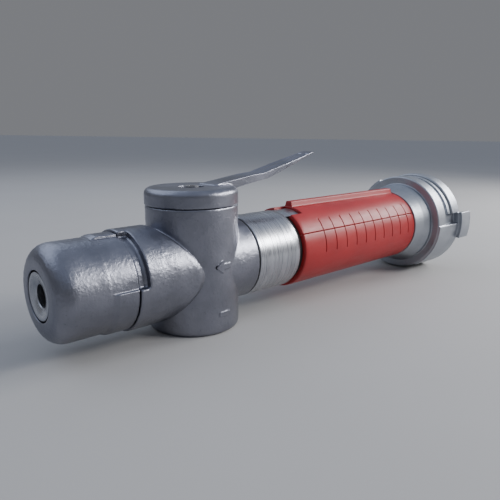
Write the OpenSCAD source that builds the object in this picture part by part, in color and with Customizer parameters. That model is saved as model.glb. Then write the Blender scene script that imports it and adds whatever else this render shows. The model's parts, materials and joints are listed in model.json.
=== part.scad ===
// Combined fire hose branch: straight jet and spray, DN50 claw coupling at the rear.
// X runs along the barrel towards the hose, Z is up on the lever side.
// The origin is the centre of the coupling's mating face. Millimetres.

/* [Layout] */
// Distance from the valve axis back to the coupling face
rear_reach = 284.5; // [280:0.5:295]
// Distance from the valve axis forward to the front face
front_reach = 103.3; // [103:0.1:106]

/* [Valve] */
// Diameter of the upright valve body
body_dia = 60; // [59:0.5:61]
// Height of the valve body above the barrel axis
body_top = 40.8; // [40.4:0.1:41.4]
// Depth of the valve body below the barrel axis
body_foot = 40.5; // [40.2:0.1:41]
// Diameter of the front barrel of the casting
barrel_dia = 61.8; // [61:0.2:62.4]
// Diameter of the front barrel where it meets the upright body
barrel_root_dia = 55.2; // [54:0.2:58]
// Width of the relief round the upright body
relief_w = 3; // [2:0.5:4]
// Diameter of the machined rear neck
neck_dia = 56.9; // [56:0.1:58]
// Bore through the conical plug
plug_bore = 27; // [24:0.5:28]
// Plug radius on the barrel axis
plug_r = 20.4; // [20.2:0.1:20.6]
// Change of plug radius for each millimetre of height
plug_taper = 0.05; // [0.04:0.01:0.06]
// Radial running clearance of turning fits
run_gap = 0.05; // [0.02:0.01:0.08]

/* [Lever] */
// Diameter of the round cap
cap_dia = 60.6; // [60:0.2:61]
// Thickness of the round cap
cap_h = 10.9; // [10.5:0.1:11.5]
// Edge rounding of the cap
cap_round = 4; // [2:0.5:5]
// Width of the lever arm
arm_w = 16; // [14:0.5:18]
// Reach of the lever from the valve axis
arm_reach = 115.5; // [112:0.5:120]
// Height of the lever tip above the barrel axis
arm_tip_z = 71.3; // [70:0.1:73]

/* [Spray head] */
// Diameter of the spray head
head_dia = 56.8; // [56:0.1:57.2]
// Diameter of the collar at the rear of the head
collar_dia = 59.2; // [58.4:0.2:60]
// Radius of the front edge rounding
head_round = 10; // [7:0.5:12]
// Angle of each window in the collar and the barrel
window_angle = 77; // [72:1:78]
// Travel of the head between its stops
head_travel = 60; // [50:1:60]
// Diameter of the straight jet orifice
jet_dia = 13.2; // [10:0.1:14]
// Diameter of the hole in the front of the head
head_hole_dia = 29.2; // [28.8:0.1:29.6]
// Diameter of the nozzle tip
tip_dia = 27.2; // [26.6:0.1:27.4]

/* [Barrel and grip] */
// Outside diameter of the barrel tube
tube_od = 48; // [47.8:0.1:48.1]
// Inside diameter of the barrel tube
tube_id = 40; // [39:0.5:42]
// Diameter of the union sleeve
union_dia = 57.4; // [56.8:0.1:58]
// Diameter of the grip
grip_dia = 60.4; // [60:0.1:61]
// Number of finger grooves on each side of the grip
groove_count = 10; // [6:1:12]
// Angle of the grip's parting line above the side
part_angle = 27; // [20:1:34]
// Height of the rib on top of the grip
rib_h = 3.8; // [2:0.1:4]

/* [Coupling] */
// Diameter over the two claws
claw_dia = 98; // [97:0.5:99]
// Diameter of the rear ring
rim_dia = 90.6; // [90:0.2:91.4]
// Diameter of the front ring
flange_dia = 88; // [87:0.2:89]
// Angle that one claw spans
claw_angle = 30; // [26:1:32]
// Reach of the claws past the mating face
claw_reach = 14.2; // [12:0.1:15]
// Radius of the groove floors between the rings
ring_floor_r = 41; // [40.8:0.1:41.5]
// Bore of the coupling
inlet_dia = 43; // [42:0.5:44]

/* [Hidden] */

$fn = 96;
eps = 0.1;

// Stations along the barrel, measured from the coupling face
valve_x = -rear_reach;
tip_x = valve_x - front_reach;
barrel_front_x = valve_x - 51.7;
window_x = valve_x - 57.5;
collar_x = valve_x - 70.4;
spigot_x = valve_x - 77.5;
chamber_x = valve_x - 72;
neck_x = valve_x + 34.9;
union_x = valve_x + 35.7;
union_end_x = valve_x + 75.2;
neck_end_x = union_x + 19;
tube_x = neck_end_x + 1.2;
grip_x = valve_x + 79;
grip_end_x = valve_x + 227.7;
grip_notch_x = grip_x + 12;
tube_end_x = -30.2;

// Valve heights
plug_low = -28;
plug_high = 27.7;
pocket_r = 24;
pocket_z = -30;
journal_r = 12;
stem_w = 14;
stem_top = 48;
cap_z = body_top + 0.3;
cap_top = cap_z + cap_h;
cap_recess_z = stem_top + 0.2;
stop_r = 24;
stop_pin_r = 2;
mark_h = 0.6;
mark_angle = 4;
screw_r = 3;

// Spigot and head
spigot_r = 24;
spigot_root_r = 27;
port_r = 3;
port_pcd_r = 16.2;
jet_thread_r = 11.4;
near_window = 2;
far_window = 182;
stop_lug_angle = window_angle - head_travel - 5;

// Union key and the notch it enters in the grip's front edge
key_from = 62;
key_to = 96;

// Coupling stations and radii
bell_r = 36.8;
flange_x = -38.2;
flange_back_x = -24.3;
fin_x = -18.9;
fin_back_x = -14.7;
fin_r = 43.5;
rim_x = -13.7;
web_x = -28.05;
bore_x = -24;
claw_low = -17;
claw_inner_r = 36;
pad_top = 1;
pad_low = -60;

castgrey = "#8d939c";
steel = "#b9bcc2";
brass = "#b08d4a";
rubber = "#1d1e20";
red = "#b3261e";

function plug_radius(z) = plug_r - plug_taper * z;

// Points of a round corner about (cr, cx) in a turned profile, quarter by quarter
function corner(cr, cx, r, from, to, n = 6) =
    [for (i = [0 : n]) [cr + r * cos(from + (to - from) * i / n), cx + r * sin(from + (to - from) * i / n)]];

// A profile of [radius, x] points turned about the barrel axis
module turned(points) {
    rotate([0, 90, 0])
        rotate_extrude()
            polygon(points);
}

// The same between two angles about the barrel, from the side (-Y) up towards +Z
module turned_arc(points, from, to) {
    rotate([0, 90, 0])
        rotate([0, 0, 270 - to])
            rotate_extrude(angle = to - from)
                polygon(points);
}

function box_points(r0, r1, x0, x1) = [[r0, x0], [r1, x0], [r1, x1], [r0, x1]];

// A ring about the barrel axis
module ring_x(r0, r1, x0, x1) {
    turned(box_points(r0, r1, x0, x1));
}

// A rod along the barrel direction
module rod_x(r, x0, x1) {
    translate([x0, 0, 0])
        rotate([0, 90, 0])
            cylinder(r = r, h = x1 - x0);
}

// An O-ring about the barrel axis
module oring_x(r, section_r, x) {
    rotate([0, 90, 0])
        translate([0, 0, x])
            rotate_extrude()
                translate([r, 0])
                    circle(r = section_r, $fn = 24);
}

// Children built towards the side (-Y) are turned up by an angle
module at_angle(a) {
    rotate([-a, 0, 0])
        children();
}

module at_valve() {
    translate([valve_x, 0, 0])
        children();
}

// ---- Valve body ----

module valve_body_outside() {
    r = body_dia / 2;
    at_valve()
        rotate_extrude()
            polygon(concat([[0, -body_foot]], corner(r - 3, 3 - body_foot, 3, -90, 0, 5),
                [[r, body_top - 0.5], [r - 0.5, body_top], [0, body_top]]));
    // Core of the front barrel and the spigot that carries the head
    turned([[0, valve_x], [barrel_root_dia / 2, valve_x], [barrel_root_dia / 2, valve_x - 40],
        [spigot_r + 1, window_x + 0.3], [spigot_r, window_x - 0.1], [spigot_r, spigot_x + 1],
        [spigot_r - 1, spigot_x], [0, spigot_x]]);
    difference() {
        turned([[spigot_r - 2, valve_x - 10], [barrel_dia / 2, valve_x - 10],
            [barrel_dia / 2, window_x + 0.2], [barrel_dia / 2 - 0.2, window_x], [spigot_r - 2, window_x]]);
        at_valve()
            cylinder(r = r + relief_w, h = 2 * barrel_dia, center = true);
        for (from = [near_window, far_window])
            turned_arc(box_points(spigot_root_r, 40, window_x - 1, barrel_front_x),
                from, from + window_angle);
    }
    turned([[0, valve_x], [neck_dia / 2, valve_x], [neck_dia / 2, neck_x - 0.6],
        [neck_dia / 2 - 0.6, neck_x], [25, neck_x], [25, neck_end_x], [0, neck_end_x]]);
    // Raised arrow towards the outlet, cast on the side of the body
    flow_mark();
}

// Cast arrow that points with the water, and a dash below it
module flow_mark() {
    at_valve()
        intersection() {
            difference() {
                cylinder(r = body_dia / 2 + mark_h, h = 60, center = true);
                cylinder(r = body_dia / 2 - 1, h = 62, center = true);
            }
            rotate([90, 0, mark_angle])
                translate([0, 0, 20])
                    linear_extrude(12)
                        union() {
                            polygon([[-6, 4], [-1, 8], [-1, 5.2], [6, 5.2], [6, 2.8], [-1, 2.8], [-1, 0]]);
                            translate([-4, -28])
                                square([8, 2]);
                        }
        }
}

module valve_body() {
    color(castgrey)
        difference() {
            valve_body_outside();
            // Seat of the conical plug, open to the pocket below
            at_valve() {
                translate([0, 0, pocket_z - eps])
                    cylinder(r1 = plug_radius(pocket_z - eps) + run_gap,
                        r2 = plug_radius(plug_high + 0.3) + run_gap, h = plug_high + 0.3 - pocket_z + eps);
                translate([0, 0, -body_foot - 1])
                    cylinder(r = pocket_r, h = 1 + body_foot + pocket_z);
                cylinder(r = journal_r + run_gap, h = body_top + 1);
                translate([-stop_r, 0, 34.8])
                    cylinder(r = stop_pin_r, h = 10);
            }
            // Waterway behind the plug
            turned([[0, valve_x + 8], [plug_bore / 2, valve_x + 8], [plug_bore / 2, valve_x + 22],
                [tube_id / 2, valve_x + 34], [tube_id / 2, neck_end_x + 1], [0, neck_end_x + 1]]);
            // Hole for the jet tube, the spray chamber around it and the front thread
            rod_x(10.65, valve_x - 30, valve_x - 8);
            turned([[0, valve_x - 27], [25, valve_x - 27], [25, valve_x - 48],
                [19.5, valve_x - 54], [19.5, chamber_x], [0, chamber_x]]);
            rod_x(jet_thread_r + 0.05, spigot_x - 1, chamber_x + 1);
            // Side passage that feeds the spray chamber when the lever is across
            translate([0, 21.8, 0])
                rod_x(5.5, valve_x - 30, valve_x + 4);
            // Spray ports in the front wall
            for (a = [0, 120, 240])
                at_angle(a)
                    translate([0, -port_pcd_r, 0])
                        rod_x(port_r, spigot_x - 1, chamber_x + 1);
            // Grooves for the head's O-ring and snap ring
            ring_x(22.1, spigot_r + 1, valve_x - 66.9, valve_x - 64.1);
            ring_x(22.4, spigot_r + 1, valve_x - 75.7, valve_x - 74);
        }
}

module bottom_cover() {
    color(steel)
        at_valve()
            difference() {
                rotate_extrude()
                    polygon([[0, -40.2], [23.4, -40.2], [23.9, -39.7], [23.9, -38.6], [22.1, -38.6],
                        [22.1, -36.4], [23.9, -36.4], [23.9, -35.1], [0, -35.1]]);
                for (s = [-1, 1])
                    translate([s * 12, 0, -41])
                        cylinder(r = 2.2, h = 4);
            }
}

module cover_oring() {
    color(rubber)
        at_valve()
            translate([0, 0, -37.5])
                rotate_extrude()
                    translate([23.02, 0])
                        circle(r = 0.82, $fn = 24);
}

// Three disc springs stacked in turn
module disc_springs() {
    thick = 0.8;
    rise = 0.7;
    color(steel)
        at_valve()
            for (i = [0 : 2])
                translate([0, 0, -35 + i * (thick + rise + 0.05)])
                    rotate_extrude()
                        if (i % 2 == 0)
                            polygon([[12, rise], [18, 0], [18, thick], [12, thick + rise]]);
                        else
                            polygon([[12, 0], [18, rise], [18, thick + rise], [12, thick]]);
}

module thrust_washer() {
    color(brass)
        at_valve()
            translate([0, 0, -29.9])
                difference() {
                    cylinder(r = 20.4, h = 1.6);
                    translate([0, 0, -1])
                        cylinder(r = 11, h = 4);
                }
}

// ---- Turning parts of the valve ----

module plug() {
    color(brass)
        at_valve()
            difference() {
                union() {
                    translate([0, 0, plug_low])
                        cylinder(r1 = plug_radius(plug_low), r2 = plug_radius(plug_high),
                            h = plug_high - plug_low);
                    translate([0, 0, plug_high - 1])
                        cylinder(r = journal_r, h = body_top + 0.2 - plug_high + 1);
                    translate([-stem_w / 2, -stem_w / 2, body_top])
                        cube([stem_w, stem_w, stem_top - body_top]);
                }
                // Through bore, and the branch that opens to the inlet when the lever is across
                rod_x(plug_bore / 2, -30, 30);
                rotate([90, 0, 0])
                    cylinder(r = 9, h = 30);
                translate([0, 0, 32.8])
                    difference() {
                        cylinder(r = journal_r + 1, h = 2.6);
                        translate([0, 0, -1])
                            cylinder(r = 10.2, h = 5);
                    }
                translate([0, 0, 35.5])
                    cylinder(r = screw_r + 0.05, h = 20);
            }
}

module stem_oring() {
    color(rubber)
        at_valve()
            translate([0, 0, 34.1])
                rotate_extrude()
                    translate([11.1, 0])
                        circle(r = 0.82, $fn = 24);
}

module lever_stop_pin() {
    color(steel)
        at_valve()
            translate([-stop_r, 0, 35])
                cylinder(r = stop_pin_r - 0.02, h = 9.2);
}

// Side outline of the arm: a flat root on the cap, one bend, a thin raised tip
arm_top = [[11.5, cap_top - 1], [13, cap_top + 0.6], [30, cap_top + 2.8], [46, 57], [58, 58],
    [arm_reach - 2.5, arm_tip_z]];
arm_under = [[arm_reach, arm_tip_z - 0.4], [arm_reach - 4, arm_tip_z - 1.2], [61, 53.7], [53, 52.8],
    [32.5, 49.4], [29, cap_z + 5], [11.5, cap_z + 5]];

module arm_side(width) {
    rotate([90, 0, 0])
        translate([0, 0, -width / 2])
            linear_extrude(width)
                children();
}

module arm_plan() {
    translate([0, 0, cap_z])
        linear_extrude(40)
            union() {
                polygon([[10, -arm_w / 2], [80, -arm_w / 2], [arm_reach - 6, -6], [arm_reach - 6, 6],
                    [80, arm_w / 2], [10, arm_w / 2]]);
                translate([arm_reach - 6, 0])
                    circle(r = 6);
            }
}

module arm() {
    difference() {
        intersection() {
            arm_side(arm_w)
                polygon(concat(arm_top, arm_under));
            arm_plan();
        }
        // Two shallow channels between the edge ridges and the middle ridge
        for (s = [-1, 1])
            translate([0, s * 3.6, 0])
                arm_side(4.4)
                    polygon([[36, 55.9], [46, 56.5], [58, 57.5], [arm_reach - 8, arm_tip_z - 1.9],
                        [arm_reach - 8, arm_tip_z + 5], [36, 64]]);
    }
}

module lever() {
    r = cap_dia / 2;
    color(castgrey)
        at_valve()
            difference() {
                union() {
                    rotate_extrude()
                        polygon(concat([[0, cap_z], [r - 0.4, cap_z], [r, cap_z + 0.4]],
                            corner(r - cap_round, cap_top - cap_round, cap_round, 0, 90),
                            [[0, cap_top]]));
                    arm();
                }
                // Square socket on the stem, screw hole and recess
                translate([-stem_w / 2 - 0.05, -stem_w / 2 - 0.05, cap_z - 1])
                    cube([stem_w + 0.1, stem_w + 0.1, stem_top - cap_z + 1.05]);
                cylinder(r = screw_r + 0.3, h = 60);
                translate([0, 0, cap_recess_z])
                    cylinder(r = 8.6, h = 10);
                // Curved slot that the stop pin runs in
                translate([0, 0, cap_z - 1])
                    rotate([0, 0, 83])
                        rotate_extrude(angle = 194)
                            translate([stop_r - 2.4, 0])
                                square([4.8, 4.7]);
            }
}

module lever_washer() {
    color(steel)
        at_valve()
            translate([0, 0, cap_recess_z + 0.02])
                difference() {
                    cylinder(r = 7, h = 1.2);
                    translate([0, 0, -1])
                        cylinder(r = screw_r + 0.2, h = 4);
                }
}

module lever_screw() {
    head_z = cap_recess_z + 1.25;
    color(steel)
        at_valve()
            difference() {
                union() {
                    translate([0, 0, 36.5])
                        cylinder(r = screw_r, h = head_z - 36.5 + 1);
                    translate([0, 0, head_z])
                        cylinder(r = 5, h = 3);
                }
                translate([0, 0, head_z + 1])
                    cylinder(r = 2.9, h = 5, $fn = 6);
            }
}

// ---- Jet and spray ----

module jet_tube() {
    color(brass)
        turned([[9.9, valve_x - 21], [10.6, valve_x - 21], [10.6, chamber_x + 0.6], [jet_thread_r, chamber_x],
            [jet_thread_r, spigot_x - 0.05], [12.6, spigot_x - 0.05], [12.6, spigot_x - 3.5],
            [10, spigot_x - 3.5], [10, tip_x + 7], [8, tip_x + 7], [9, valve_x - 40], [9, valve_x - 26]]);
}

module nozzle_tip() {
    r = tip_dia / 2;
    jet_r = jet_dia / 2;
    color(brass)
        turned([[jet_r, tip_x + 2.2], [12.2, tip_x + 0.4], [r - 0.3, tip_x + 0.4], [r, tip_x + 0.7],
            [r, tip_x + 8], [12.4, tip_x + 10], [12.4, tip_x + 17], [10.05, tip_x + 17],
            [10.05, tip_x + 6.9], [7.9, tip_x + 6.9], [7.9, tip_x + 10.4], [jet_r, tip_x + 9.1]]);
}

module head_oring() {
    color(rubber)
        oring_x(23, 0.84, valve_x - 65.5);
}

module head_snap_ring() {
    color(steel)
        turned_arc(box_points(22.6, 25.2, valve_x - 75.6, valve_x - 74.1), 30, 350);
}

module spray_head() {
    r = head_dia / 2;
    collar_r = collar_dia / 2;
    hole_r = head_hole_dia / 2;
    rear_x = window_x - 0.3;
    color(castgrey) {
        difference() {
            turned(concat([[hole_r, tip_x]],
                corner(r - head_round, tip_x + head_round, head_round, -90, 0, 9),
                [[r, collar_x - 3.1], [collar_r, collar_x], [collar_r, rear_x - 0.4],
                    [collar_r - 0.4, rear_x], [spigot_r + run_gap, rear_x], [spigot_r + run_gap, valve_x - 72.5],
                    [25.6, valve_x - 72.7], [25.6, valve_x - 77.3], [24, valve_x - 77.3],
                    [24, valve_x - 81.3], [22.5, valve_x - 81.5], [hole_r, tip_x + 3.8]]));
            for (from = [near_window, far_window])
                turned_arc(box_points(r - 0.1, 40, collar_x - 4, window_x), from, from + window_angle);
        }
        // Stop lug that runs in the barrel's far window
        turned_arc(box_points(spigot_root_r + 0.4, 30.2, rear_x - 1, barrel_front_x - 0.6),
            far_window + window_angle - 1 - stop_lug_angle, far_window + window_angle - 1);
        turned_arc(box_points(spigot_root_r - 1, 30.2, rear_x - 2, rear_x - 0.2),
            far_window + window_angle - 1 - stop_lug_angle, far_window + window_angle - 1);
    }
}

// Port disc fixed in the head: its ports leave the body's ports as the head turns
module spray_disc() {
    color(brass)
        difference() {
            ring_x(13, 23.95, valve_x - 81.2, valve_x - 77.8);
            for (a = [0, 120, 240])
                at_angle(a)
                    translate([0, -port_pcd_r, 0])
                        rod_x(port_r, valve_x - 84, valve_x - 75);
        }
}

// ---- Union and barrel ----

module neck_seal() {
    color(rubber)
        ring_x(25.1, 27.9, neck_x + 0.05, union_x - 0.05);
}

// Shallow turned lines round the sleeve, measured from its front edge
union_grooves = [2.8, 4.9, 12.7, 16.7, 20, 25.7, 30, 33.5];

module union_sleeve() {
    r = union_dia / 2;
    color(steel) {
        difference() {
            turned([[25.05, union_x], [r - 0.6, union_x], [r, union_x + 0.6], [r, union_end_x - 0.6],
                [r - 0.6, union_end_x], [tube_od / 2 + 0.05, union_end_x], [tube_od / 2 + 0.05, tube_x],
                [25.05, tube_x]]);
            for (x = union_grooves)
                ring_x(r - 0.2, r + 1, union_x + x, union_x + x + 0.4);
        }
        // Key that stops the grip from turning
        turned_arc(box_points(tube_od / 2 + 0.1, r - 0.2, union_end_x - 2, grip_notch_x - 0.3),
            key_from + 1, key_to - 1);
    }
}

module union_gasket() {
    color(rubber)
        ring_x(tube_id / 2 + 0.3, 24.7, neck_end_x + 0.05, tube_x - 0.05);
}

module barrel_tube() {
    color(steel)
        ring_x(tube_id / 2, tube_od / 2, tube_x, tube_end_x);
}

// Ring with crossed plates that steadies the flow
module flow_straightener() {
    length = 40;
    color(steel)
        translate([-120, 0, 0]) {
            ring_x(tube_id / 2 - 1.4, tube_id / 2 - 0.1, 0, length);
            for (a = [0, 90])
                rotate([a, 0, 0])
                    translate([0, -tube_id / 2 + 1, -0.6])
                        cube([length, tube_id - 2, 1.2]);
        }
}

// ---- Grip ----

module grip_front_ring() {
    color(rubber)
        turned_arc(box_points(tube_od / 2 + 0.1, 27.2, union_end_x + 0.2, grip_x - 0.1),
            key_to, key_from + 360);
}

module grip_shell(from, to) {
    r = grip_dia / 2;
    turned_arc([[tube_od / 2 + 0.15, grip_x], [r - 1, grip_x], [r, grip_x + 1], [r, grip_end_x - 1],
        [r - 1, grip_end_x], [tube_od / 2 + 0.15, grip_end_x]], from + 0.3, to - 0.3);
}

// Finger grooves on both sides of the grip
module finger_grooves() {
    r = grip_dia / 2;
    first = grip_x + 23.2;
    pitch = 114.8 / (groove_count - 1);
    for (i = [0 : groove_count - 1])
        for (from = [-6, 132])
            turned_arc(box_points(r - 0.7, r + 1, first + i * pitch - 0.4, first + i * pitch + 0.4),
                from, from + 54);
}

screw_stations = [18, 74, 130];
screw_side_y = -26.8;

// Places a child on each grip screw's axis, on the far side of the barrel
module at_grip_screws() {
    for (x = screw_stations)
        translate([grip_x + x, 0, 0])
            at_angle(180 + part_angle)
                translate([0, screw_side_y, 0])
                    children();
}

module rib() {
    base_z = grip_dia / 2 - 1;
    top_z = grip_dia / 2 + rib_h;
    front = grip_notch_x + 0.5;
    rotate([90, 0, 90])
        translate([0, 0, front])
            linear_extrude(grip_end_x - front)
                polygon([[-4, base_z], [4, base_z], [2.6, top_z], [-2.6, top_z]]);
}

module grip_upper() {
    color(red)
        difference() {
            union() {
                grip_shell(part_angle, part_angle + 180);
                rib();
            }
            finger_grooves();
            turned_arc(box_points(tube_od / 2 - 1, 40, grip_x - 1, grip_notch_x), key_from, key_to);
            at_grip_screws()
                translate([0, 0, -9])
                    cylinder(r = 1.25, h = 12);
        }
}

module grip_lower() {
    color(red)
        difference() {
            grip_shell(part_angle + 180, part_angle + 360);
            finger_grooves();
            at_grip_screws() {
                translate([0, 0, -1])
                    cylinder(r = 1.4, h = 12);
                translate([0, 0, 6])
                    cylinder(r = 2.35, h = 12);
            }
        }
}

module grip_screws() {
    color(steel)
        at_grip_screws()
            difference() {
                union() {
                    translate([0, 0, -8.5])
                        cylinder(r = 1.2, h = 15);
                    translate([0, 0, 6.1])
                        cylinder(r = 2.2, h = 1.8);
                }
                translate([0, 0, 7])
                    cylinder(r = 1, h = 2, $fn = 6);
            }
}

// ---- Coupling ----

module claw(side) {
    from = side + claw_low;
    to = from + claw_angle;
    r = claw_dia / 2;
    // Claw past the face, with its edge broken
    turned_arc([[claw_inner_r, -3.5], [r, -3.5], [r, claw_reach - 0.8], [r - 0.8, claw_reach],
        [claw_inner_r + 0.8, claw_reach], [claw_inner_r, claw_reach - 0.8]], from, to);
    // Pad that fills the ring grooves behind and below the claw
    turned_arc(box_points(ring_floor_r - 3, rim_dia / 2 - 0.1, flange_x + 0.4, -3),
        side + pad_low, side + pad_top);
}

module coupling_rings() {
    rim_r = rim_dia / 2;
    flange_r = flange_dia / 2;
    turned([[tube_od / 2 + 0.05, grip_end_x + 0.3], [31, grip_end_x + 0.3], [32, grip_end_x + 3.5],
        [34.2, grip_end_x + 10], [bell_r, grip_end_x + 15.5], [bell_r, flange_x],
        [flange_r - 0.8, flange_x], [flange_r, flange_x + 0.8],
        [flange_r, flange_back_x - 0.8], [flange_r - 0.8, flange_back_x], [ring_floor_r, flange_back_x],
        [ring_floor_r, fin_x], [fin_r, fin_x], [fin_r, fin_back_x], [ring_floor_r, fin_back_x],
        [ring_floor_r, rim_x], [rim_r - 0.8, rim_x], [rim_r, rim_x + 0.8], [rim_r, -0.8], [rim_r - 0.8, 0],
        [29, 0], [29, -5], [24, -5], [24, 0], [inlet_dia / 2, 0], [inlet_dia / 2, bore_x],
        [tube_id / 2 + 0.2, bore_x], [tube_id / 2 + 0.2, web_x], [tube_od / 2 + 0.05, web_x]]);
}

module coupling_head() {
    color(castgrey)
        difference() {
            union() {
                coupling_rings();
                claw(0);
                claw(180);
            }
            // Notch behind each claw, where the other coupling's claw locks
            for (side = [0, 180])
                turned_arc(box_points(ring_floor_r - 0.5, 60, fin_x - 0.4, -3.8), side + pad_top - 0.3,
                    side + claw_low + claw_angle + 0.6);
            // Tapped hole for the lock screw
            translate([-48, 0, -40])
                cylinder(r = 2.5, h = 17);
        }
}

module coupling_seal() {
    color(rubber)
        ring_x(tube_id / 2 + 0.3, tube_od / 2 - 0.1, tube_end_x + 0.1, web_x - 0.05);
}

module coupling_gasket() {
    color(rubber)
        turned([[24.1, -4.9], [28.9, -4.9], [28.9, 0.3], [27.6, 0.9], [25.4, 0.9], [24.1, -0.4]]);
}

module coupling_lock_screw() {
    color(steel)
        difference() {
            translate([-48, 0, -31.5])
                cylinder(r = 2.45, h = 7.4);
            translate([-48, 0, -32])
                cylinder(r = 1.5, h = 3, $fn = 6);
        }
}

valve_body();
bottom_cover();
cover_oring();
disc_springs();
thrust_washer();
plug();
stem_oring();
lever_stop_pin();
lever();
lever_washer();
lever_screw();
jet_tube();
nozzle_tip();
head_oring();
head_snap_ring();
spray_head();
spray_disc();
neck_seal();
union_sleeve();
union_gasket();
barrel_tube();
flow_straightener();
grip_front_ring();
grip_upper();
grip_lower();
grip_screws();
coupling_head();
coupling_seal();
coupling_gasket();
coupling_lock_screw();
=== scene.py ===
import json
import math

import bmesh
import bpy
import numpy as np
from mathutils import Euler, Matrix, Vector, noise


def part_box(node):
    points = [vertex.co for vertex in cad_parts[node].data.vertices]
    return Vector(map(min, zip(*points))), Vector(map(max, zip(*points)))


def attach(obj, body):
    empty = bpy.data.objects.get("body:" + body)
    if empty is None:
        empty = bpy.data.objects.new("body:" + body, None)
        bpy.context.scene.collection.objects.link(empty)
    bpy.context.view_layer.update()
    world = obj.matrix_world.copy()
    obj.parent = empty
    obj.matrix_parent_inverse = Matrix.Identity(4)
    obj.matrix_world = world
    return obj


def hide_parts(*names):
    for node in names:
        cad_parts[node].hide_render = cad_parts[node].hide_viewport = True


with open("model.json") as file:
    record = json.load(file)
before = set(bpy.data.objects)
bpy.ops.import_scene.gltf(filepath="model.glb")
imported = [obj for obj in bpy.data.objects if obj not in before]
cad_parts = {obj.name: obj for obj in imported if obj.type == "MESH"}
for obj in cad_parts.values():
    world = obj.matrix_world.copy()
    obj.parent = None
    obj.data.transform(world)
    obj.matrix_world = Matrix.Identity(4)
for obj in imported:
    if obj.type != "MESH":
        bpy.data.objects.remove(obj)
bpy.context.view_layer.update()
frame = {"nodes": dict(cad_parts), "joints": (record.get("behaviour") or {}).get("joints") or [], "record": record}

MM = 0.001


# ---------------------------------------------------------------- places, from the frame

def joint(name):
    return next(j for j in frame["joints"] if j["name"] == name)


VALVE_X = joint("lever_turn")["pos_m"][0]


# ---------------------------------------------------------------- mesh helpers

def new_object(name, mesh):
    obj = bpy.data.objects.new(name, mesh)
    bpy.context.scene.collection.objects.link(obj)
    return obj


def mesh_from(name, verts, faces):
    mesh = bpy.data.meshes.new(name)
    mesh.from_pydata([tuple(v) for v in verts], [], [tuple(f) for f in faces])
    mesh.validate()
    mesh.update()
    return mesh


def coords(mesh):
    co = np.empty(len(mesh.vertices) * 3)
    mesh.vertices.foreach_get("co", co)
    return co.reshape(-1, 3)


def set_coords(mesh, co):
    mesh.vertices.foreach_set("co", np.ascontiguousarray(co, dtype=np.float64).ravel())
    mesh.update()


def normals(mesh):
    out = np.empty(len(mesh.vertices) * 3)
    mesh.vertex_normals.foreach_get("vector", out)
    return out.reshape(-1, 3)


def edge_pairs(mesh):
    pairs = np.empty(len(mesh.edges) * 2, dtype=np.int64)
    mesh.edges.foreach_get("vertices", pairs)
    return pairs.reshape(-1, 2)


def relax(mesh, rounds, keep=None):
    """Taubin smoothing, which rounds edges without shrinking. keep is 0 to 1 for each vertex."""
    co = coords(mesh)
    a, b = edge_pairs(mesh).T
    count = np.bincount(np.concatenate([a, b]), minlength=len(co))[:, None].clip(1)
    move = 1.0 if keep is None else (1 - keep)[:, None]
    for _ in range(rounds):
        for step in (0.5, -0.52):
            total = np.zeros_like(co)
            for k in range(3):
                total[:, k] = (np.bincount(a, co[b, k], len(co)) + np.bincount(b, co[a, k], len(co)))
            co = co + step * move * (total / count - co)
    set_coords(mesh, co)


def remeshed(mesh, name, voxel):
    """The mesh rebuilt from voxels, as one closed skin."""
    source = new_object(name + "_source", mesh)
    modifier = source.modifiers.new("voxels", "REMESH")
    modifier.mode = "VOXEL"
    modifier.voxel_size = voxel
    modifier.adaptivity = 0
    graph = bpy.context.evaluated_depsgraph_get()
    result = bpy.data.meshes.new_from_object(source.evaluated_get(graph))
    result.name = name
    bpy.data.objects.remove(source)
    return result


def cad_mesh(node):
    """A welded copy of a CAD node's mesh."""
    mesh = frame["nodes"][node].data.copy()
    edit = bmesh.new()
    edit.from_mesh(mesh)
    bmesh.ops.remove_doubles(edit, verts=edit.verts, dist=1e-6)
    edit.to_mesh(mesh)
    edit.free()
    return mesh


def radius_x(co):
    return np.hypot(co[:, 1], co[:, 2])


def cast_skin(mesh, height, size, where=None, seed=0.0):
    """Moves vertices in and out a little, as on a sand-cast surface."""
    co = coords(mesh)
    nrm = normals(mesh)
    shift = Vector((seed, seed * 0.7, seed * 1.3))
    amount = np.array([noise.noise(Vector(p) / size + shift)
                       + 0.5 * noise.noise(Vector(p) / size * 2.3 + shift) for p in co])
    amount *= height
    if where is not None:
        amount *= where
    set_coords(mesh, co + nrm * amount[:, None])


def smooth_shading(mesh, angle=None):
    mesh.polygons.foreach_set("use_smooth", [True] * len(mesh.polygons))
    if angle:
        mesh.set_sharp_from_angle(angle=math.radians(angle))
    mesh.update()


def finish_piece(name, mesh, node, body):
    """Makes the piece that stands for a CAD node, in that node's material."""
    piece = new_object(name, mesh)
    slot = SLOT_OF[node]
    mesh.materials.clear()
    mesh.materials.append(BY_SLOT[slot])
    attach(piece, body)
    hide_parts(node)
    return piece


def smoothstep(t):
    t = np.clip(t, 0, 1)
    return t * t * (3 - 2 * t)


# ---------------------------------------------------------------- materials

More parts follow.
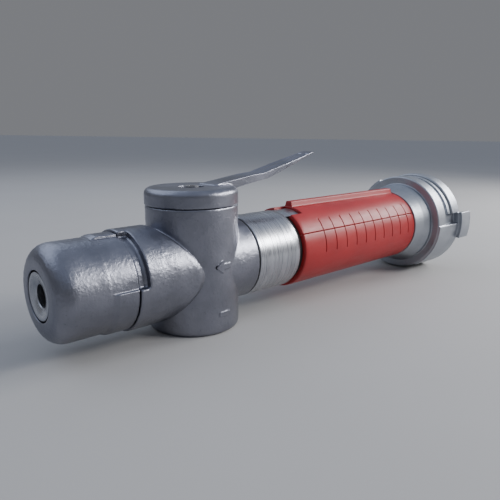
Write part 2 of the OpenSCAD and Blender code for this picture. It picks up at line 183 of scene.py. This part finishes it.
class Nodes:
    """Short ways to build a node material."""

    def __init__(self, name):
        self.material = bpy.data.materials.new(name)
        self.material.use_nodes = True
        self.tree = self.material.node_tree
        self.shader = self.tree.nodes["Principled BSDF"]
        self.place = self.add("ShaderNodeTexCoord").outputs["Object"]

    def add(self, kind, **values):
        node = self.tree.nodes.new(kind)
        for key, value in values.items():
            if key in node.inputs:
                node.inputs[key].default_value = value
            else:
                setattr(node, key, value)
        return node

    def link(self, out, into):
        self.tree.links.new(out, into)

    def scaled(self, factors):
        mapping = self.add("ShaderNodeMapping")
        mapping.inputs["Scale"].default_value = factors
        self.link(self.place, mapping.inputs["Vector"])
        return mapping.outputs["Vector"]

    def noise(self, scale, detail=3.0, rough=0.55, stretch=None):
        node = self.add("ShaderNodeTexNoise", Scale=scale, Detail=detail, Roughness=rough)
        self.link(self.scaled(stretch) if stretch else self.place, node.inputs["Vector"])
        return node.outputs["Fac"]

    def span(self, value, low, high, to_low, to_high):
        node = self.add("ShaderNodeMapRange")
        self.link(value, node.inputs["Value"])
        for key, number in (("From Min", low), ("From Max", high), ("To Min", to_low), ("To Max", to_high)):
            node.inputs[key].default_value = number
        return node.outputs["Result"]

    def math(self, kind, a, b):
        node = self.add("ShaderNodeMath", operation=kind)
        for socket, value in zip(node.inputs, (a, b)):
            if isinstance(value, (int, float)):
                socket.default_value = value
            else:
                self.link(value, socket)
        return node.outputs[0]

    def mix(self, factor, a, b):
        node = self.add("ShaderNodeMix", data_type="RGBA")
        self.link(factor, node.inputs[0])
        for socket, value in ((node.inputs[6], a), (node.inputs[7], b)):
            if isinstance(value, tuple):
                socket.default_value = value
            else:
                self.link(value, socket)
        return node.outputs[2]

    def bump(self, height, strength, distance, under=None):
        node = self.add("ShaderNodeBump", Strength=strength, Distance=distance)
        self.link(height, node.inputs["Height"])
        if under is not None:
            self.link(under, node.inputs["Normal"])
        return node.outputs["Normal"]

    def set(self, **values):
        names = {"color": "Base Color", "rough": "Roughness", "normal": "Normal", "metal": "Metallic",
                 "specular": "Specular IOR Level"}
        for key, value in values.items():
            socket = self.shader.inputs[names[key]]
            if isinstance(value, (int, float, tuple)):
                socket.default_value = value
            else:
                self.link(value, socket)
        return self.material


def cast_aluminium(name, dark, light, rough=(0.27, 0.44), grain=1.0):
    n = Nodes(name)
    broad = n.noise(38, 4, 0.6)
    patches = n.noise(95, 3, 0.6)
    pits = n.noise(560, 3, 0.6)
    fine = n.noise(1900, 2, 0.5)
    tone = n.mix(n.span(broad, 0.3, 0.7, 0, 1), dark, light)
    tone = n.mix(n.span(pits, 0.62, 0.75, 0, 0.35), tone, (0.10, 0.10, 0.12, 1))
    lumps = n.math("MULTIPLY", pits, n.span(patches, 0.4, 0.65, 0.1, 1.0))
    normal = n.bump(lumps, 0.5 * grain, 0.0006)
    normal = n.bump(fine, 0.25 * grain, 0.0002, normal)
    rough_map = n.span(n.math("ADD", n.math("MULTIPLY", broad, 0.6), n.math("MULTIPLY", pits, 0.4)),
                       0.3, 0.7, rough[0], rough[1])
    return n.set(color=tone, metal=1.0, rough=rough_map, normal=normal)


def turned_aluminium(name, dark, light, rough=(0.2, 0.4)):
    n = Nodes(name)
    rings = n.noise(1.0, 4, 0.7, stretch=(1500, 5, 5))
    smear = n.noise(60, 3, 0.6, stretch=(3, 1, 1))
    tone = n.mix(n.span(smear, 0.35, 0.7, 0, 1), dark, light)
    normal = n.bump(rings, 0.16, 0.00012)
    return n.set(color=tone, metal=1.0, rough=n.span(rings, 0.3, 0.7, rough[0], rough[1]), normal=normal)


def red_plastic():
    n = Nodes("red_plastic")
    broad = n.noise(30, 4, 0.6)
    grain = n.noise(1500, 2, 0.5)
    scuff = n.noise(1.0, 5, 0.7, stretch=(60, 260, 260))
    tone = n.mix(n.span(broad, 0.3, 0.7, 0, 1), (0.33, 0.012, 0.014, 1), (0.43, 0.018, 0.020, 1))
    tone = n.mix(n.span(scuff, 0.68, 0.8, 0, 0.25), tone, (0.62, 0.16, 0.14, 1))
    normal = n.bump(grain, 0.12, 0.0003)
    return n.set(color=tone, rough=n.span(scuff, 0.3, 0.75, 0.34, 0.52), normal=normal, specular=0.5)


def black_rubber():
    n = Nodes("black_rubber")
    dust = n.noise(90, 5, 0.6)
    grain = n.noise(2200, 2, 0.5)
    tone = n.mix(n.span(dust, 0.45, 0.75, 0, 1), (0.012, 0.012, 0.013, 1), (0.035, 0.034, 0.034, 1))
    return n.set(color=tone, rough=n.span(dust, 0.3, 0.7, 0.55, 0.8), normal=n.bump(grain, 0.2, 0.0002))


def plain_metal(name, dark, light, rough):
    n = Nodes(name)
    wear = n.noise(240, 4, 0.6)
    tone = n.mix(n.span(wear, 0.3, 0.7, 0, 1), dark, light)
    return n.set(color=tone, metal=1.0, rough=n.span(wear, 0.3, 0.7, rough - 0.08, rough + 0.1),
                 normal=n.bump(wear, 0.1, 0.0001))


CAST = cast_aluminium("cast_aluminium", (0.21, 0.215, 0.25, 1), (0.30, 0.305, 0.355, 1))
COUPLING = cast_aluminium("coupling_aluminium", (0.34, 0.36, 0.40, 1), (0.45, 0.47, 0.51, 1),
                          rough=(0.36, 0.50), grain=0.3)
TURNED = turned_aluminium("machined_aluminium", (0.40, 0.41, 0.44, 1), (0.52, 0.53, 0.57, 1))
RED = red_plastic()
RUBBER = black_rubber()
BRASS = plain_metal("brass", (0.52, 0.36, 0.14, 1), (0.64, 0.47, 0.2, 1), 0.3)
STEEL = plain_metal("screw_steel", (0.42, 0.42, 0.43, 1), (0.58, 0.58, 0.6, 1), 0.32)
SPRING = plain_metal("spring_steel", (0.10, 0.10, 0.11, 1), (0.2, 0.2, 0.21, 1), 0.38)
BY_SLOT = {"cast_aluminium": CAST, "coupling_aluminium": COUPLING, "machined_aluminium": TURNED,
           "red_plastic": RED, "rubber": RUBBER, "brass": BRASS, "screw_steel": STEEL, "spring_steel": SPRING}

SLOT_OF = {part["node"]: part["material_slot"] for part in frame["record"]["subparts"]}

for node, slot in SLOT_OF.items():
    data = frame["nodes"][node].data
    data.materials.clear()
    data.materials.append(BY_SLOT[slot])


# ---------------------------------------------------------------- castings

def casting(node, voxel, rounds=2):
    """The CAD node as a casting: every edge softened by rebuilding it from small voxels."""
    mesh = remeshed(cad_mesh(node), node + "_skin", voxel)
    relax(mesh, rounds)
    return mesh


BODY_R = 30 * MM
BARREL_R = 30.9 * MM
ROOT_R = 27.6 * MM
FADE = 6 * MM
NECK_X = VALVE_X + 31 * MM

# The cast marks, as (across, up) points in mm on the side of the upright body
MARK_ANGLE = math.radians(4)
MARK_HEIGHT = 0.75 * MM
MARK_ROOT = 0.6 * MM
ARROW = [(-6.2, 4), (-0.8, 8.3), (-0.8, 5.4), (6.2, 5.4), (6.2, 2.6), (-0.8, 2.6), (-0.8, -0.3)]
DASH = [(-4.2, -28.2), (4.2, -28.2), (4.2, -25.8), (-4.2, -25.8)]


def blend_root(mesh):
    """Draws the front barrel down to its root where it meets the upright body."""
    co = coords(mesh)
    r = radius_x(co)
    upright = np.hypot(co[:, 0] - VALVE_X, co[:, 1]) - BODY_R
    beside = (co[:, 0] < VALVE_X - 3 * MM) & (upright > 0.15 * MM) & (upright < FADE)
    on_barrel = (r > ROOT_R - 0.6 * MM) & (r < BARREL_R + 0.3 * MM)
    hit = beside & on_barrel
    target = ROOT_R + (BARREL_R - ROOT_R) * smoothstep(upright / FADE)
    co[hit, 1:] *= (target[hit] / r[hit])[:, None]
    set_coords(mesh, co)


def raised_mark(outline):
    """A flat outline wrapped round the upright body and raised from it."""
    edit = bmesh.new()
    corners = [edit.verts.new((across * MM, up * MM, 0)) for across, up in outline]
    edit.faces.new(corners)
    bmesh.ops.triangulate(edit, faces=edit.faces)
    bmesh.ops.subdivide_edges(edit, edges=edit.edges, cuts=5, use_grid_fill=True)
    shell = bmesh.ops.extrude_face_region(edit, geom=list(edit.faces))
    lifted = {v for v in shell["geom"] if isinstance(v, bmesh.types.BMVert)}
    for vert in edit.verts:
        r = BODY_R + MARK_HEIGHT if vert in lifted else BODY_R - MARK_ROOT
        angle = MARK_ANGLE + vert.co.x / BODY_R
        vert.co = (VALVE_X + r * math.sin(angle), -r * math.cos(angle), vert.co.y)
    bmesh.ops.recalc_face_normals(edit, faces=edit.faces)
    mesh = bpy.data.meshes.new("mark")
    edit.to_mesh(mesh)
    edit.free()
    return mesh


def valve_body():
    mesh = casting("valve_body", 0.6 * MM)
    blend_root(mesh)
    mesh = remeshed(mesh, "valve_body_skin", 0.5 * MM)
    relax(mesh, 2)
    co = coords(mesh)
    neck = smoothstep((co[:, 0] - NECK_X) / (2 * MM))
    cast_skin(mesh, 0.05 * MM, 5 * MM, 1 - neck, seed=1.3)
    for outline in (ARROW, DASH):
        add_to(mesh, raised_mark(outline))
    smooth_shading(mesh, 55)
    finish_piece("valve_body_casting", mesh, "valve_body", "body")


def spray_head():
    mesh = casting("spray_head", 0.4 * MM)
    cast_skin(mesh, 0.04 * MM, 5 * MM, seed=4.1)
    smooth_shading(mesh)
    finish_piece("spray_head_casting", mesh, "spray_head", "head")


def lever():
    mesh = casting("lever", 0.42 * MM)
    cast_skin(mesh, 0.05 * MM, 5 * MM, seed=7.7)
    smooth_shading(mesh)
    finish_piece("lever_casting", mesh, "lever", "valve")


def coupling_head():
    mesh = casting("coupling_head", 0.42 * MM, 1)
    cast_skin(mesh, 0.02 * MM, 7 * MM, seed=9.2)
    smooth_shading(mesh)
    finish_piece("coupling_casting", mesh, "coupling_head", "body")


# ---------------------------------------------------------------- turned pieces

def rounded(points, radius, steps=4):
    """A closed outline of (radius, x) points with every corner rounded off."""
    out = []
    count = len(points)
    for i in range(count):
        here = Vector(points[i])
        before = Vector(points[i - 1]) - here
        after = Vector(points[(i + 1) % count]) - here
        cut = min(radius, before.length * 0.45, after.length * 0.45)
        start = here + before.normalized() * cut
        end = here + after.normalized() * cut
        for k in range(steps + 1):
            t = k / steps
            out.append(start * (1 - t) ** 2 + here * 2 * t * (1 - t) + end * t ** 2)
    return [tuple(v) for v in out]


def turned_points(outline, angles):
    verts = []
    for a in angles:
        for r, x in outline:
            verts.append((x, -r * math.cos(a), r * math.sin(a)))
    return verts


def turned_mesh(name, outline, segments=256, span=None):
    """The outline turned about the barrel axis, all round or over a span of degrees with flat ends."""
    count = len(outline)
    if span is None:
        angles = [math.tau * k / segments for k in range(segments)]
    else:
        low, high = (math.radians(v) for v in span)
        angles = [low + (high - low) * k / segments for k in range(segments + 1)]
    rows = len(angles)
    faces = []
    for k in range(rows if span is None else rows - 1):
        near, far = k * count, ((k + 1) % rows) * count
        for j in range(count):
            nxt = (j + 1) % count
            faces.append((near + j, near + nxt, far + nxt, far + j))
    if span is not None:
        faces.append(tuple(reversed(range(count))))
        faces.append(tuple(range((rows - 1) * count, rows * count)))
    mesh = mesh_from(name, turned_points(outline, angles), faces)
    edit = bmesh.new()
    edit.from_mesh(mesh)
    bmesh.ops.recalc_face_normals(edit, faces=edit.faces)
    edit.to_mesh(mesh)
    edit.free()
    smooth_shading(mesh, 38)
    return mesh


KEY_SPAN = (63, 95)


def union_sleeve():
    """Sleeve with fine, uneven turning lines and a rounded rear lip, and the key under the grip."""
    low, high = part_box("union_sleeve")
    front = low.x
    shoulder = VALVE_X + 55.9 * MM
    rear = VALVE_X + 75.2 * MM
    top = 28.7 * MM
    neck_bore = 25.05 * MM
    tube_bore = 24.05 * MM
    lines = [2.8, 4.9, 12.7, 16.7, 20.0, 25.7, 30.0, 33.5]
    outline = [(neck_bore, front), (top - 0.5 * MM, front), (top, front + 0.5 * MM)]
    for k, at in enumerate(lines):
        deep = (0.16 + 0.05 * ((k * 5) % 3)) * MM
        wide = (0.16 + 0.03 * ((k * 7) % 3)) * MM
        middle = front + (at + 0.2) * MM
        outline += [(top, middle - wide), (top - deep, middle - 0.4 * wide),
                    (top - deep, middle + 0.4 * wide), (top, middle + wide)]
    outline += [(top, rear - 1.3 * MM), (top - 0.35 * MM, rear - 0.5 * MM), (top - 1.1 * MM, rear),
                (tube_bore, rear), (tube_bore, shoulder), (neck_bore, shoulder)]
    mesh = turned_mesh("union_sleeve_turned", outline)
    key_low, key_high = tube_bore + 0.05 * MM, top - 0.2 * MM
    key_front = rear - 2 * MM
    key = [(key_low, key_front), (key_high, key_front), (key_high, high.x), (key_low, high.x)]
    add_to(mesh, turned_mesh("union_key", rounded(key, 0.5 * MM), 48, KEY_SPAN))
    smooth_shading(mesh, 38)
    finish_piece("union_sleeve_turned", mesh, "union_sleeve", "body")


def add_to(mesh, other):
    edit = bmesh.new()
    edit.from_mesh(mesh)
    edit.from_mesh(other)
    edit.to_mesh(mesh)
    edit.free()


def nozzle_tip():
    """Tip ring: countersunk jet outlet, rounded rim, and the seat of the jet tube behind."""
    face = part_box("nozzle_tip")[0].x
    outline = [(6.6, 2.0), (7.4, 1.2), (12.0, 0.05), (12.3, 0.0), (13.2, 0.0), (13.5, 0.1), (13.6, 0.4),
               (13.6, 7.5), (12.4, 9.6), (12.4, 16.5), (12.3, 16.6), (10.05, 16.6), (10.05, 6.5), (7.9, 6.5),
               (7.9, 10.0), (6.6, 8.7)]
    mesh = turned_mesh("nozzle_tip_turned", [(r * MM, face + x * MM) for r, x in outline], 192)
    finish_piece("nozzle_tip_turned", mesh, "nozzle_tip", "body")


def ring_outline(node, inner, outer):
    """Square section of a ring that is as long as its CAD node."""
    low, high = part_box(node)
    return [(inner, low.x), (outer, low.x), (outer, high.x), (inner, high.x)]


def rubber_rings():
    seal = rounded(ring_outline("neck_seal", 25.1 * MM, 27.9 * MM), 0.2 * MM)
    finish_piece("neck_seal_ring", turned_mesh("neck_seal_ring", seal), "neck_seal", "body")
    # The front ring is open at the top, where the sleeve's key lies
    ring = rounded(ring_outline("grip_front_ring", 24.1 * MM, 27.2 * MM), 0.7 * MM)
    mesh = turned_mesh("grip_front_ring_moulded", ring, 192, (96, 422))
    finish_piece("grip_front_ring_moulded", mesh, "grip_front_ring", "body")
    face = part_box("coupling_gasket")[1].x
    lips = [(24.1, -5.8), (28.9, -5.8), (28.9, -0.7), (28.6, -0.25), (27.6, 0), (26.7, -0.2), (26.4, -0.75),
            (26.1, -0.2), (25.4, 0), (24.5, -0.3), (24.1, -0.8)]
    outline = rounded([(r * MM, face + x * MM) for r, x in lips], 0.25 * MM, 3)
    mesh = turned_mesh("coupling_gasket_moulded", outline)
    finish_piece("coupling_gasket_moulded", mesh, "coupling_gasket", "body")


# ---------------------------------------------------------------- grip

GRIP_LOW, GRIP_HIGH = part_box("grip_lower")
GRIP_X, GRIP_END_X = GRIP_LOW.x, GRIP_HIGH.x
GRIP_R = 30.2 * MM
GRIP_BORE_R = 24.15 * MM
SEAM = 27.0
FIRST_GROOVE, LAST_GROOVE, GROOVE_COUNT = 23.2 * MM, 138 * MM, 10
GROOVE_PITCH = (LAST_GROOVE - FIRST_GROOVE) / (GROOVE_COUNT - 1)
GROOVES = [GRIP_X + FIRST_GROOVE + k * GROOVE_PITCH for k in range(GROOVE_COUNT)]
GROOVE_HALF_W = 0.55 * MM
GROOVE_WALL = 0.22 * MM
GROOVE_DEPTH = 0.6 * MM
# Grid lines across one groove, in mm: beyond it, at its two top edges, at the foot of its walls
GROOVE_STATIONS = (-0.75, -0.55, -0.33, 0, 0.33, 0.55, 0.75)
GROOVE_SPANS = [(-6, 48), (132, 186)]
NOTCH_X = GRIP_X + 12 * MM
NOTCH_SPAN = (62, 96)
RIB_X = NOTCH_X + 0.3 * MM
RIB_TOP = 34.0 * MM
RIB_HALF_W = 2.6 * MM
RIB_DRAFT = 0.2917
RIB_CORNERS = (4.4, 7.05)
# Grip screws: places along the grip in mm, and their place beside the seam
SCREWS = (18, 74, 130)
SCREW_Y, SCREW_Z = -26.8 * MM, 12 * MM
EDGE_R = 0.7 * MM


def stations(low, high, step, marks, spread):
    """Grid lines from low to high, gathered round each mark and nowhere further apart than step."""
    fixed = sorted({low, high, *[m for m in marks if low < m < high]})
    out = list(fixed)
    for mark in fixed:
        for offset in spread:
            for value in (mark - offset, mark + offset):
                if low < value < high and min(abs(value - v) for v in out) > 0.6 * spread[0]:
                    out.append(value)
    out.sort()
    filled = [out[0]]
    for value in out[1:]:
        parts = max(1, math.ceil((value - filled[-1]) / step))
        start = filled[-1]
        filled += [start + (value - start) * k / parts for k in range(1, parts + 1)]
    return filled


def edge_round(distance, radius=EDGE_R):
    """How far a rounded edge drops below the surface at a distance from the edge."""
    t = np.clip(1 - distance / radius, 0, 1)
    return radius * (1 - np.sqrt(1 - t * t))


def soft_min(a, b, k=0.22 * MM):
    return -k * np.logaddexp(-a / k, -b / k)


def soft_max(a, b, k=0.35 * MM):
    return k * np.logaddexp(a / k, b / k)


def grip_radius(x, phi):
    """Outside radius of the grip at stations x and angles phi, in degrees."""
    off = np.radians(np.minimum(np.abs(phi - 90), 40))
    side = (RIB_HALF_W + RIB_TOP * RIB_DRAFT) / (np.sin(off) + RIB_DRAFT * np.cos(off))
    rib = soft_min(RIB_TOP / np.cos(off), side)
    rise = np.sqrt(1 - (1 - np.clip((x - RIB_X) / (0.6 * MM), 0, 1)) ** 2)
    r = GRIP_R + (soft_max(np.full_like(rib, GRIP_R), rib) - GRIP_R) * rise
    for at in GROOVES:
        across = np.clip((GROOVE_HALF_W - np.abs(x - at)) / GROOVE_WALL, 0, 1)
        for low, high in GROOVE_SPANS:
            for turn in (0, 360):
                inside = np.minimum(phi - low - turn, high + turn - phi)
                r = r - GROOVE_DEPTH * across * smoothstep(inside / 2.5)
    arc = np.radians(phi) * GRIP_R
    notch_from, notch_to = (math.radians(v) * GRIP_R for v in NOTCH_SPAN)
    beside = np.maximum(np.maximum(notch_from - arc, arc - notch_to), 0)
    to_notch = np.hypot(beside, np.maximum(x - NOTCH_X, 0))
    return r - edge_round(to_notch) - edge_round(x - GRIP_X, 1.0 * MM) - edge_round(GRIP_END_X - x, 1.0 * MM)


def grip_mesh(name, low, high):
    low, high = low + 0.3, high - 0.3
    xs = stations(GRIP_X, GRIP_END_X, 3 * MM, [NOTCH_X, RIB_X], [0.1 * MM, 0.25 * MM, 0.5 * MM, 0.8 * MM])
    for at in GROOVES:
        xs += [at + k * MM for k in GROOVE_STATIONS]
    xs = sorted(xs)
    xs = [x for k, x in enumerate(xs) if k == 0 or x - xs[k - 1] > 0.02 * MM]
    marks = [v + turn for span in GROOVE_SPANS + [NOTCH_SPAN] for v in span for turn in (0, 360)]
    marks += [90.0] + [90 + side * corner for corner in RIB_CORNERS for side in (-1, 1)]
    phis = stations(low, high, 2.6, marks, [0.25, 0.6, 1.2, 2.2])
    x, phi = np.meshgrid(np.array(xs), np.array(phis), indexing="ij")
    seam = np.minimum(phi - low, high - phi) * math.radians(1) * GRIP_R
    outer = grip_radius(x, phi) - edge_round(seam, 0.45 * MM)
    inner = np.full_like(outer, GRIP_BORE_R)
    rows, cols = x.shape
    angle = np.radians(phi)
    skin = [np.stack([x, -r * np.cos(angle), r * np.sin(angle)], -1).reshape(-1, 3) for r in (outer, inner)]
    below = rows * cols
    solid = np.ones((rows - 1, cols - 1), bool)
    if low < NOTCH_SPAN[0] < high:
        in_x = np.array([0.5 * (a + b) < NOTCH_X for a, b in zip(xs, xs[1:])])
        in_phi = np.array([NOTCH_SPAN[0] < 0.5 * (a + b) < NOTCH_SPAN[1] for a, b in zip(phis, phis[1:])])
        solid &= ~(in_x[:, None] & in_phi[None, :])

    def at(i, j):
        return i * cols + j

    def filled(i, j):
        return 0 <= i < rows - 1 and 0 <= j < cols - 1 and solid[i, j]

    faces = []
    for i, j in zip(*np.nonzero(solid)):
        corners = [at(i, j), at(i + 1, j), at(i + 1, j + 1), at(i, j + 1)]
        faces.append(corners)
        faces.append([v + below for v in reversed(corners)])
        for (di, dj), (a, b) in {(-1, 0): (3, 0), (1, 0): (1, 2), (0, -1): (0, 1), (0, 1): (2, 3)}.items():
            if not filled(i + di, j + dj):
                faces.append([corners[b], corners[a], corners[a] + below, corners[b] + below])
    mesh = mesh_from(name, np.concatenate(skin), faces)
    edit = bmesh.new()
    edit.from_mesh(mesh)
    bmesh.ops.delete(edit, geom=[v for v in edit.verts if not v.link_faces], context="VERTS")
    bmesh.ops.recalc_face_normals(edit, faces=edit.faces)
    edit.to_mesh(mesh)
    edit.free()
    return mesh


def screw_pockets(mesh):
    """Cuts the three screw pockets on the far side out of the lower shell."""
    turn = math.radians(180 + SEAM)
    pocket_r = 2.35 * MM
    for at in SCREWS:
        edit = bmesh.new()
        bmesh.ops.create_cone(edit, cap_ends=True, segments=48, radius1=pocket_r, radius2=pocket_r,
                              depth=12 * MM)
        cutter_mesh = bpy.data.meshes.new("pocket")
        edit.to_mesh(cutter_mesh)
        edit.free()
        cutter = new_object("pocket", cutter_mesh)
        y, z = SCREW_Y, SCREW_Z
        cutter.location = (GRIP_X + at * MM, y * math.cos(turn) + z * math.sin(turn),
                           -y * math.sin(turn) + z * math.cos(turn))
        cutter.rotation_euler = (-turn, 0, 0)
        holder = new_object("holder", mesh)
        cut = holder.modifiers.new("pocket", "BOOLEAN")
        cut.operation = "DIFFERENCE"
        cut.solver = "EXACT"
        cut.object = cutter
        bpy.context.view_layer.update()
        graph = bpy.context.evaluated_depsgraph_get()
        mesh = bpy.data.meshes.new_from_object(holder.evaluated_get(graph))
        bpy.data.objects.remove(holder)
        bpy.data.objects.remove(cutter)
    return mesh


def grip():
    upper = grip_mesh("grip_upper_moulded", SEAM, SEAM + 180)
    lower = screw_pockets(grip_mesh("grip_lower_moulded", SEAM + 180, SEAM + 360))
    for mesh, node in ((upper, "grip_upper"), (lower, "grip_lower")):
        smooth_shading(mesh, 32)
        finish_piece(node + "_moulded", mesh, node, "body")


valve_body()
spray_head()
lever()
coupling_head()
union_sleeve()
nozzle_tip()
rubber_rings()
grip()


# ---------------------------------------------------------------- stage, light and camera

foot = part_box("valve_body")[0]
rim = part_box("coupling_head")[0]
foot_point = Vector((VALVE_X, 0, foot.z))
rim_point = Vector((-7 * MM, 0, rim.z))
# The nozzle lies on the valve's foot and the coupling's rim, so the floor is tilted to touch both
floor_tilt = math.atan2(foot_point.z - rim_point.z, rim_point.x - foot_point.x)

REACH = 80
floor_corners = [(-REACH, -REACH, 0), (REACH, -REACH, 0), (REACH, REACH, 0), (-REACH, REACH, 0)]
floor = new_object("floor", mesh_from("floor", floor_corners, [(0, 1, 2, 3)]))
floor.location = foot_point
floor.rotation_euler = Euler((0, floor_tilt, 0))
n = Nodes("floor_paper")
speckle = n.noise(5, 4, 0.6)
n.set(color=n.mix(speckle, (0.42, 0.41, 0.40, 1), (0.46, 0.45, 0.44, 1)), rough=0.9)
floor.data.materials.append(n.material)

SKY = (0.20, 0.205, 0.22)
OVERHEAD = (0.40, 0.45, 0.56)
world = bpy.data.worlds.new("studio")
bpy.context.scene.world = world
world.use_nodes = True
# The studio is brighter overhead, so that the upper sides of the metal don't go black
tree = world.node_tree
height = tree.nodes.new("ShaderNodeSeparateXYZ")
view_ray = tree.nodes.new("ShaderNodeTexCoord").outputs["Generated"]
tree.links.new(view_ray, height.inputs["Vector"])
ramp = tree.nodes.new("ShaderNodeMapRange")
ramp.interpolation_type = "SMOOTHSTEP"
ramp.inputs["From Min"].default_value = 0.24
ramp.inputs["From Max"].default_value = 0.70
tree.links.new(height.outputs["Z"], ramp.inputs["Value"])
blend = tree.nodes.new("ShaderNodeMix")
blend.data_type = "RGBA"
tree.links.new(ramp.outputs["Result"], blend.inputs[0])
blend.inputs[6].default_value = (*SKY, 1)
blend.inputs[7].default_value = (*OVERHEAD, 1)
tree.links.new(blend.outputs[2], tree.nodes["Background"].inputs["Color"])


def area_light(name, place, aim, size, power, color=(1, 1, 1)):
    data = bpy.data.lights.new(name, "AREA")
    data.shape = "RECTANGLE"
    data.size, data.size_y = size
    data.energy = power
    data.color = color
    lamp = bpy.data.objects.new(name, data)
    bpy.context.scene.collection.objects.link(lamp)
    lamp.location = place
    lamp.rotation_euler = (Vector(aim) - Vector(place)).to_track_quat("-Z", "Y").to_euler()


middle = (-0.19, 0, 0)
area_light("key", (0.62, -0.85, 0.62), middle, (0.5, 0.3), 13)
area_light("rear", (0.95, -0.30, 0.52), (0, 0, 0), (0.45, 0.35), 9)
area_light("back", (-0.6, 0.75, 0.9), middle, (1.7, 0.9), 5, (0.75, 0.84, 1))

camera_data = bpy.data.cameras.new("camera")
camera_data.sensor_width = 36
camera_data.lens = 37.53
camera_data.clip_start, camera_data.clip_end = 0.01, 50
camera = bpy.data.objects.new("camera", camera_data)
bpy.context.scene.collection.objects.link(camera)
# The angle of the photo: in front of the head and to its left, a little above it
look_down, look_round = math.radians(12.9), math.radians(42.55)
camera.location = (VALVE_X - 0.1997, -0.2736, 0.0869)
camera.rotation_euler = Euler((math.pi / 2 - look_down, 0, -look_round))
bpy.context.scene.camera = camera
